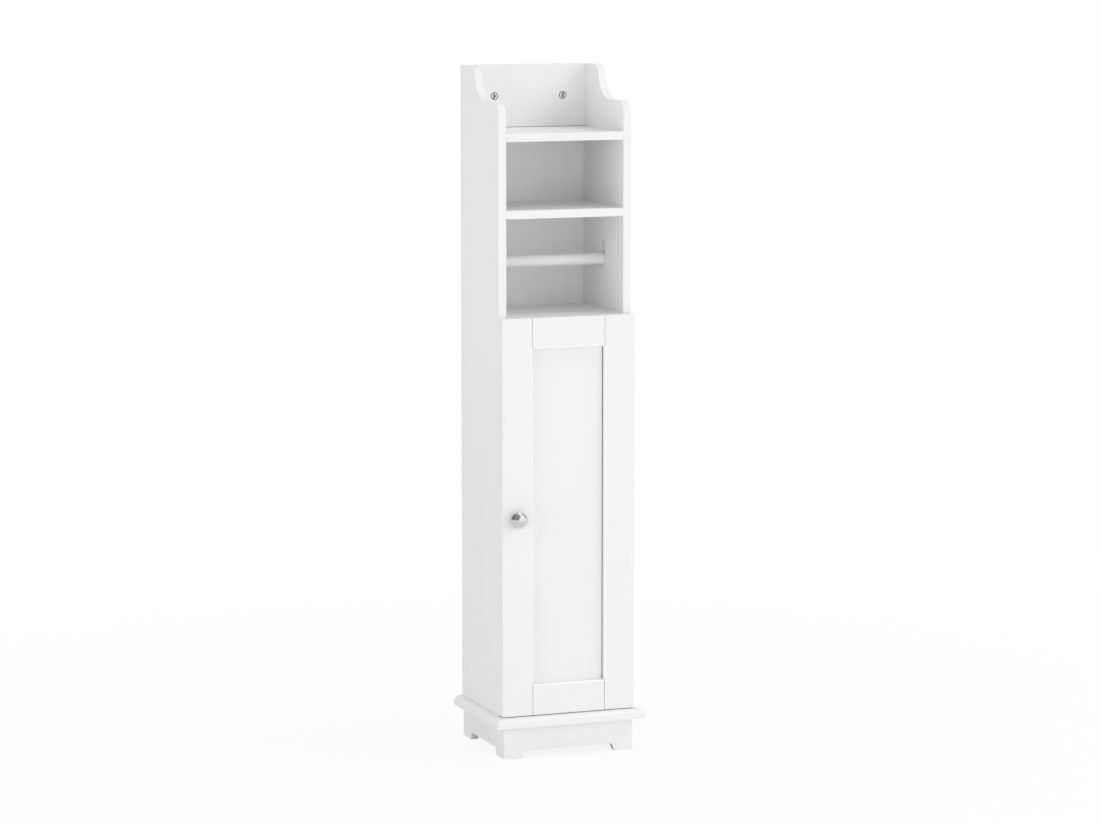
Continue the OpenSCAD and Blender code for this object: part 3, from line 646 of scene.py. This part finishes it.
def bar_slot(side):
    """The tool for a blind upright slot with round ends."""
    radius = (BAR_HIGH.z - BAR_LOW.z + SLOT_PLAY) / 2
    y = (BAR_LOW.y + BAR_HIGH.y) / 2
    low = (BAR_LOW.z + BAR_HIGH.z) / 2 + SLOT_LOW_OVER
    high = low + SLOT_TRAVEL
    slot = Outline("slot_tool", (y - radius, low), BACKWARD, UP, (side * (INNER_X - OVERCUT), 0, 0))
    slot.arc((y, low), 180, steps=24)
    slot.line(y + radius, high)
    slot.arc((y, high), 180, steps=24)
    slot.line(y - radius, low)
    return slot.board((side * (SLOT_DEPTH + OVERCUT), 0, 0))


def side_panel(name, side):
    """A side panel with its scalloped top edge: side is -1 on the left and 1 on the right."""
    edge = Outline(name, (FRONT_Y, BODY_Z), BACKWARD, UP, (side * INNER_X, 0, 0))
    edge.line(FRONT_Y, SHOULDER_Z - NOSE_R)
    edge.arc((FRONT_Y + NOSE_R, SHOULDER_Z - NOSE_R), -90)
    edge.line(HOLLOW_Y, SHOULDER_Z)
    edge.arc((HOLLOW_Y, SHOULDER_Z + HOLLOW_R), CURVE_TURN, steps=20)
    edge.arc((CREST_Y, TOP_Z - CREST_R), -CURVE_TURN, steps=16)
    edge.line(BACK_Y, TOP_Z)
    edge.line(BACK_Y, BODY_Z)
    edge.line(FRONT_Y, BODY_Z)
    panel = edge.board((side * BOARD_T, 0, 0))
    xs = sorted((side * (INNER_X - OVERCUT), side * (INNER_X + BACK_STEP_W)))
    cut_away(panel, block("step_tool", (xs[0], BACK_BOARD_Y, BODY_Z - OVERCUT),
                          (xs[1], BACK_Y + OVERCUT, TRAY_TOP)))
    cut_away(panel, bar_slot(side))
    soften(panel)
    fit(panel, "white_paint", "cabinet", name)


# ---- Level boards and backs ----

def level_board(name, has_cams=True):
    """A board between the sides, bored from below for its cam locks."""
    low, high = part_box(name)
    board = block(name, low, high)
    soften(board)
    if has_cams:
        for x in (-CAM_X, CAM_X):
            bore(board, (x, MIDDLE_Y, low.z), UP, CAM_H + DEPTH_PLAY, CAM_R + HOLE_PLAY)
    even_light(board)
    fit(board, "white_paint", "cabinet", name)


def tray_back():
    low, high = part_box("tray_back")
    board = block("tray_back", low + UP * TRAY_BACK_GAP, high)
    soften(board)
    for x in (-CAM_X, CAM_X):
        bore(board, (x, low.y, TRAY_TOP + CAM_RISE), BACKWARD, CAM_H + DEPTH_PLAY, CAM_R + HOLE_PLAY)
    even_light(board)
    fit(board, "white_paint", "cabinet", "tray_back")


def roll_bar():
    """The bar lies in the side panels' slots; its ends are chamfered."""
    middle = (BAR_LOW + BAR_HIGH) / 2
    bar = rod("roll_bar", middle, BAR_HIGH.x - BAR_LOW.x, (BAR_HIGH.z - BAR_LOW.z) / 2,
              (0, math.pi / 2, 0), sides=64)
    open_piece(bar)
    for direction in (ACROSS, -ACROSS):
        select_faces(direction)
        bpy.ops.mesh.bevel(offset=BAR_CHAMFER, segments=3, affect="EDGES")
    close_piece()
    smooth(bar)
    fit(bar, "white_paint", "roll_bar", "roll_bar")


# ---- Door ----

def beside_opening(place):
    """Whether a place is at the height of the door's opening."""
    return OPENING_ZS[0] - ON_EDGE < place.z < OPENING_ZS[1] + ON_EDGE


def door_stile(name, side):
    """A stile with the step at its back that the panel and the rails lie in."""
    step_x = RAIL_HALF + PANEL_STEP
    xs = sorted((side * step_x, side * OUTER_X))
    stile = block(name, (xs[0], STILE_LOW.y, STILE_LOW.z), (xs[1], STILE_HIGH.y, STILE_HIGH.z))
    open_piece(stile)
    cut_through((0, PANEL_FACE_Y, 0), BACKWARD)
    select_faces(-side * ACROSS, lambda place: place.y < PANEL_FACE_Y)
    push((-side * PANEL_STEP, 0, 0))
    for z in OPENING_ZS:
        cut_through((0, 0, z), UP)
    close_piece()
    front_y = STILE_LOW.y + ON_EDGE
    round_edges(stile, DOOR_EDGE, lambda place: place.y < front_y and place.x * side > OUTER_X - ON_EDGE)
    round_edges(stile, OPENING_EDGE, lambda place: place.y < front_y
                and place.x * side < RAIL_HALF + ON_EDGE and beside_opening(place))
    if side > 0:
        for z in HINGE_ZS:
            bore(stile, (CUP_X, STILE_HIGH.y, z), -BACKWARD, STILE_HIGH.y - CUP_LOW.y + HOLE_PLAY,
                 CUP_R + HOLE_PLAY)
    soften(stile, FINE_EDGE)
    # Painted highlight: the rounded edge round the opening is painted whiter
    mark_faces(stile, "painted_highlight", lambda place: place.y < front_y + OPENING_EDGE
               and abs(place.x * side - RAIL_HALF) < OPENING_EDGE)
    # Painted shade: the stile's underside and its joint faces with the rails take the dark raw-board tone
    mark_faces(stile, "raw_and_shade", lambda place: place.z < STILE_LOW.z + ON_FACE
               or abs(place.x * side - RAIL_HALF) < ON_FACE and not OPENING_ZS[0] < place.z < OPENING_ZS[1])
    fit(stile, "white_paint", "door", name)


def door_rail(name, inward):
    """A rail that reaches into the stiles' steps: inward is 1 on the bottom rail and -1 on the top."""
    low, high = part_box(name)
    outer_z, opening_z = (low.z, high.z) if inward > 0 else (high.z, low.z)
    zs = sorted((outer_z, opening_z - inward * PANEL_STEP))
    half = RAIL_HALF - JOINT_GAP
    rail = block(name, (-half, low.y, zs[0]), (half, high.y, zs[1]))
    open_piece(rail)
    cut_through((0, PANEL_FACE_Y, 0), BACKWARD)
    for direction in (ACROSS, -ACROSS):
        select_faces(direction, lambda place: place.y > PANEL_FACE_Y)
        push(direction * (JOINT_GAP + PANEL_STEP))
    select_faces(inward * UP, lambda place: place.y < PANEL_FACE_Y)
    push((0, 0, inward * PANEL_STEP))
    close_piece()
    front_y = low.y + ON_EDGE
    round_edges(rail, OPENING_EDGE, lambda place: place.y < front_y and abs(place.z - opening_z) < ON_EDGE)
    soften(rail, FINE_EDGE)
    # Painted highlight: the rounded edge along the opening is painted whiter
    mark_faces(rail, "painted_highlight", lambda place: place.y < front_y + OPENING_EDGE
               and abs(place.z - opening_z) < OPENING_EDGE)
    # Painted shade: the rail's underside and its end faces in the joints take the dark raw-board tone
    mark_faces(rail, "raw_and_shade", lambda place: place.z < STILE_LOW.z + ON_FACE
               or abs(abs(place.x) - half) < ON_FACE and place.y < PANEL_FACE_Y)
    fit(rail, "white_paint", "door", name)


def door_panel():
    """The sunk panel, with a fine groove along each stile whose walls get the dark raw-board tone as painted
    shade.
    """
    low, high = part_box("door_panel")
    panel = block("door_panel", low, high)
    soften(panel)
    for side in (-1, 1):
        xs = sorted((side * (RAIL_HALF - GROOVE_W), side * RAIL_HALF))
        cut_away(panel, block("groove_tool", (xs[0], low.y - OVERCUT, OPENING_ZS[0]),
                              (xs[1], low.y + GROOVE_DEPTH, OPENING_ZS[1])))
    # Painted shade: the groove's walls take the dark raw-board tone
    mark_faces(panel, "raw_and_shade", lambda place: ON_EDGE < place.y - low.y < GROOVE_DEPTH + ON_EDGE
               and RAIL_HALF - GROOVE_W - ON_EDGE < abs(place.x) < RAIL_HALF + ON_EDGE
               and beside_opening(place))
    even_light(panel)
    fit(panel, "white_paint", "door", "door_panel")


def knob():
    """A lathe-turned knob: a foot, a hollow neck, a rolled rim with a groove inside it, and a dome."""
    foot = (KNOB_MIDDLE.x, KNOB_HIGH.y, KNOB_MIDDLE.z)
    section = Outline("knob", (0, 0), ACROSS, -BACKWARD, foot)
    section.line(KNOB_FOOT_R - EDGE, 0)
    section.line(KNOB_FOOT_R, EDGE)
    section.line(KNOB_FOOT_R, KNOB_FOOT_T)
    hollow, rise = KNOB_FOOT_R - KNOB_NECK_R, KNOB_WAIST - KNOB_FOOT_T
    curve_r = (hollow ** 2 + rise ** 2) / hollow / 2
    below = math.degrees(math.asin(rise / curve_r))
    above = math.degrees(math.asin((KNOB_RIM - KNOB_WAIST) / curve_r))
    section.arc((KNOB_NECK_R + curve_r, KNOB_WAIST), -below - above, steps=14)
    for radius, reach in KNOB_BEAD:
        section.line(radius, reach)
    top = KNOB_HIGH.y - KNOB_LOW.y
    rim_r, dome_h = (KNOB_HIGH.x - KNOB_LOW.x) / 2, KNOB_DOME_H
    dome_r = (rim_r ** 2 + dome_h ** 2) / dome_h / 2
    dome_start = math.asin(KNOB_GROOVE_R / dome_r)
    section.line(KNOB_GROOVE_R, top - dome_r + dome_r * math.cos(dome_start))
    section.arc((0, top - dome_r), math.degrees(dome_start), steps=16)
    turned = section.lathe()
    smooth(turned)
    fit(turned, "satin_nickel", "door", "knob")


# ---- Plinth ----

def plinth_board():
    """The moulded board: its slope is drawn up in steps on the front and both sides."""
    edge_z = PLINTH_HIGH.z - MOULDING_R + math.sqrt(MOULDING_R ** 2 - MOULDING_RUN ** 2)
    board = block("plinth_board", PLINTH_LOW, (PLINTH_HIGH.x, PLINTH_HIGH.y, edge_z))
    open_piece(board)
    half, depth = PLINTH_HIGH.x, PLINTH_HIGH.y - PLINTH_LOW.y
    start = math.asin((edge_z - PLINTH_HIGH.z + MOULDING_R) / MOULDING_R)
    inset, height = 0, edge_z
    for step in range(1, MOULDING_STEPS + 1):
        turn = start + (math.pi / 2 - start) * step / MOULDING_STEPS
        next_inset = MOULDING_RUN - MOULDING_R * math.cos(turn)
        next_height = PLINTH_HIGH.z - MOULDING_R + MOULDING_R * math.sin(turn)
        select_faces(UP, lambda place: place.z > height - FINE_EDGE)
        push((0, 0, next_height - height))
        shrink = ((half - next_inset) / (half - inset), (depth - next_inset) / (depth - inset), 1)
        bpy.ops.transform.resize(value=shrink, center_override=(0, PLINTH_HIGH.y, next_height))
        inset, height = next_inset, next_height
    close_piece()
    soften(board, FINE_EDGE)
    fit(board, "white_paint", "cabinet", "plinth_board")


def apron(name, half, foot_w, across, origin, thickness):
    """An apron board with the cut-out between its two feet, drawn on its outer face."""
    cut = half - foot_w
    slope = math.atan(FOOT_SLOPE / FOOT_CUT_H)
    round_z = FOOT_CUT_H - FOOT_FILLET
    round_at = cut - FOOT_FILLET / math.cos(slope) - round_z * math.tan(slope)
    quarter = 90 - math.degrees(slope)
    edge = Outline(name, (-half, 0), across, UP, origin)
    edge.line(-half, APRON_HIGH.z)
    edge.line(half, APRON_HIGH.z)
    edge.line(half, 0)
    edge.line(cut, 0)
    edge.line(round_at + FOOT_FILLET * math.cos(slope), round_z + FOOT_FILLET * math.sin(slope))
    edge.arc((round_at, round_z), quarter, steps=6)
    edge.line(-round_at, FOOT_CUT_H)
    edge.arc((-round_at, round_z), quarter, steps=6)
    edge.line(-cut, 0)
    edge.line(-half, 0)
    return edge.board(thickness)


def mitre(board, test, offset):
    """Slides one end of a board's inner face along, so that the end lies in the corner's mitre."""
    open_piece(board)
    select_where("verts", lambda vert: test(vert.co))
    slide(offset)
    close_piece()


def finish_apron(board, name):
    soften(board, FINE_EDGE)
    fit(board, "white_paint", "cabinet", name)


def apron_boards():
    """The front and side aprons meet in mitres; the back one lies between the sides."""
    half = APRON_HIGH.x
    inner_y = APRON_LOW.y + APRON_T / 2
    front = apron("apron_front", half, FRONT_FOOT_W, ACROSS, (0, APRON_LOW.y, 0), (0, APRON_T, 0))
    for side in (-1, 1):
        mitre(front, lambda place: place.y > inner_y and place.x * side > half - ON_EDGE,
              (-side * APRON_T, 0, 0))
    finish_apron(front, "apron_front")
    depth = BACK_Y - APRON_LOW.y
    middle_y = (BACK_Y + APRON_LOW.y) / 2
    for side, name in ((-1, "apron_left"), (1, "apron_right")):
        board = apron(name, depth / 2, SIDE_FOOT_W, BACKWARD, (side * half, middle_y, 0),
                      (-side * APRON_T, 0, 0))
        mitre(board, lambda place: abs(place.x) < half - ON_EDGE and place.y < APRON_LOW.y + ON_EDGE,
              (0, APRON_T, 0))
        finish_apron(board, name)
    back = apron("apron_back", half - APRON_T, FRONT_FOOT_W - APRON_T, ACROSS, (0, BACK_Y, 0),
                 (0, -APRON_T, 0))
    finish_apron(back, "apron_back")


# ---- Cam locks ----

def cam_copy(cam, place, turn):
    take(cam)
    bpy.ops.object.duplicate()
    copy = bpy.context.object
    copy.location, copy.rotation_euler = place, turn
    bpy.ops.object.transform_apply(location=True, rotation=True, scale=True)
    return copy


def cam_locks():
    """Cast cams with a sunk face, a cross for the screwdriver and a deep arrow, one copy in each bore."""
    cam = rod("cam_lock", (0, 0, CAM_H / 2), CAM_H, CAM_R - CAM_GAP)
    open_piece(cam)
    select_faces(-UP)
    bpy.ops.mesh.inset(thickness=CAM_RIM)
    slide((0, 0, CAM_SINK))
    close_piece()
    for size in ((CAM_CROSS_L, CAM_CROSS_W), (CAM_CROSS_W, CAM_CROSS_L)):
        corner = Vector((size[0] / 2, size[1] / 2, CAM_SINK + CAM_CROSS_DEPTH))
        cut_away(cam, block("cross_tool", (-corner.x, -corner.y, -OVERCUT), corner))
    for turn in (-45, 45):
        arm = block("arrow_tool", (-CAM_ARROW_L, -CAM_ARROW_W / 2, -OVERCUT),
                    (0, CAM_ARROW_W / 2, CAM_ARROW_DEPTH))
        arm.location.x = CAM_ARROW_TIP
        arm.rotation_euler.z = math.radians(turn)
        cut_away(cam, arm)
    open_piece(cam)
    # A ring of points where the painted shade reaches its darkest
    cut_through((0, 0, CAM_SHADE_Z), UP)
    close_piece()
    soften(cam, FINE_EDGE / 2, segments=2)
    # Painted shade: the zinc darkens with each point's depth below the cam's face, to near black just inside
    # its recess and gap
    depth = cam.data.attributes.new("depth", "FLOAT", "POINT")
    for vert, item in zip(cam.data.vertices, depth.data):
        item.value = min(1, vert.co.z / CAM_SHADE_Z)
    copies = []
    for side in (-1, 1):
        for name in LEVEL_BOARDS:
            board_place = (side * CAM_X, MIDDLE_Y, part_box(name)[0].z)
            copies.append(cam_copy(cam, board_place, (0, 0, CAM_TURNS[side])))
        tray_place = (side * CAM_X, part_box("tray_back")[0].y, TRAY_TOP + CAM_RISE)
        copies.append(cam_copy(cam, tray_place, (-math.pi / 2, CAM_TURNS[side], 0)))
    bpy.data.objects.remove(cam)
    clear_selection()
    for copy in copies:
        copy.select_set(True)
    bpy.context.view_layer.objects.active = copies[0]
    bpy.ops.object.join()
    cams = bpy.context.object
    cams.name = cams.data.name = "cam_locks"
    fit(cams, "zinc_plate", "cabinet", "cam_locks")


# ---- The whole cabinet ----

for side, name in ((-1, "side_panel_left"), (1, "side_panel_right")):
    side_panel(name, side)
for name in LEVEL_BOARDS:
    level_board(name)
level_board("inner_shelf", has_cams=False)
tray_back()
roll_bar()
for side, name in ((-1, "door_stile_left"), (1, "door_stile_right")):
    door_stile(name, side)
door_rail("door_rail_bottom", 1)
door_rail("door_rail_top", -1)
door_panel()
knob()
plinth_board()
apron_boards()
cam_locks()

# The solids get the finishes that their slots ask for
for name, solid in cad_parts.items():
    solid.data.materials[0] = FINISHES[SLOTS[name]]


# ---- Floor, lamps and camera ----

def seen_rays(tree):
    """1 for rays from the camera, from shiny metal and through glass, 0 for the light that the room gives."""
    camera_ray, glossy_ray, glass_ray = (tree.node("ShaderNodeLightPath", {}, {}, f"Is {kind} Ray")
                                         for kind in ("Camera", "Glossy", "Transmission"))
    return camera_ray.at_least(glossy_ray).at_least(glass_ray)


def grey(tone):
    return tone, tone, tone, 1


def floor():
    clear_selection()
    bpy.ops.mesh.primitive_plane_add(size=FLOOR_SIZE)
    plane = name_new("floor")
    ground = bpy.data.materials.new("floor")
    tree = Tree(ground)
    tree.nodes.clear()
    away = tree.length(tree.coordinates())
    glow = (away * ((1 - FLOOR_GLOW) / FLOOR_FADE) + FLOOR_GLOW).at_most(1) * seen_rays(tree)
    paper = tree.node("ShaderNodeBsdfDiffuse", {}, {"Color": grey(FLOOR_TONE)})
    white = tree.node("ShaderNodeEmission", {}, {"Color": grey(1)})
    mixed = tree.node("ShaderNodeMixShader", {}, {0: glow, 1: paper, 2: white})
    tree.node("ShaderNodeOutputMaterial", {}, {"Surface": mixed})
    plane.data.materials.append(ground)


def sky():
    """An even white room: it lights the cabinet softly, and is white where the camera sees it."""
    world = bpy.data.worlds.new("room")
    bpy.context.scene.world = world
    tree = Tree(world)
    background = tree.nodes["Background"]
    tree.feed(background.inputs["Color"], grey(1))
    tree.feed(background.inputs["Strength"], seen_rays(tree) * (1 - AMBIENT) + AMBIENT)


def facing(place):
    """The turn that points something at the middle of the cabinet."""
    return ((cad_low + cad_high) / 2 - Vector(place)).to_track_quat("-Z", "Y").to_euler()


def lamp(name, place, size, power):
    bpy.ops.object.light_add(type="AREA", location=place, rotation=facing(place))
    light = bpy.context.object
    light.name = name
    light.visible_camera = light.visible_glossy = False
    light.data.size = size
    light.data.energy = power


def grey_card(name, place, width, height, tone):
    clear_selection()
    bpy.ops.mesh.primitive_plane_add(size=1, location=place, rotation=facing(place))
    bpy.context.object.scale = (width, height, 1)
    card = name_new(name)
    card.visible_camera = card.visible_diffuse = card.visible_shadow = card.visible_transmission = False
    paper = Finish(f"{name}_grey")
    paper.colour(grey(tone))
    paper.feed(paper.skin.inputs["Specular IOR Level"], 0)
    card.data.materials.append(paper.material)


def camera():
    bpy.ops.object.camera_add(location=CAMERA_PLACE)
    eye = bpy.context.object
    eye.rotation_euler = (math.radians(90 - CAMERA_PITCH), 0, math.radians(-CAMERA_YAW))
    eye.data.sensor_width = SENSOR_W
    eye.data.lens = CAMERA_LENS
    eye.data.clip_end = CAMERA_REACH
    bpy.context.scene.camera = eye


floor()
sky()
for name, (place, size, power) in LAMPS.items():
    lamp(name, place, size, power)
for name, (place, width, height, tone) in GREY_CARDS.items():
    grey_card(name, place, width, height, tone)
camera()
bpy.context.scene.view_settings.view_transform = "Standard"
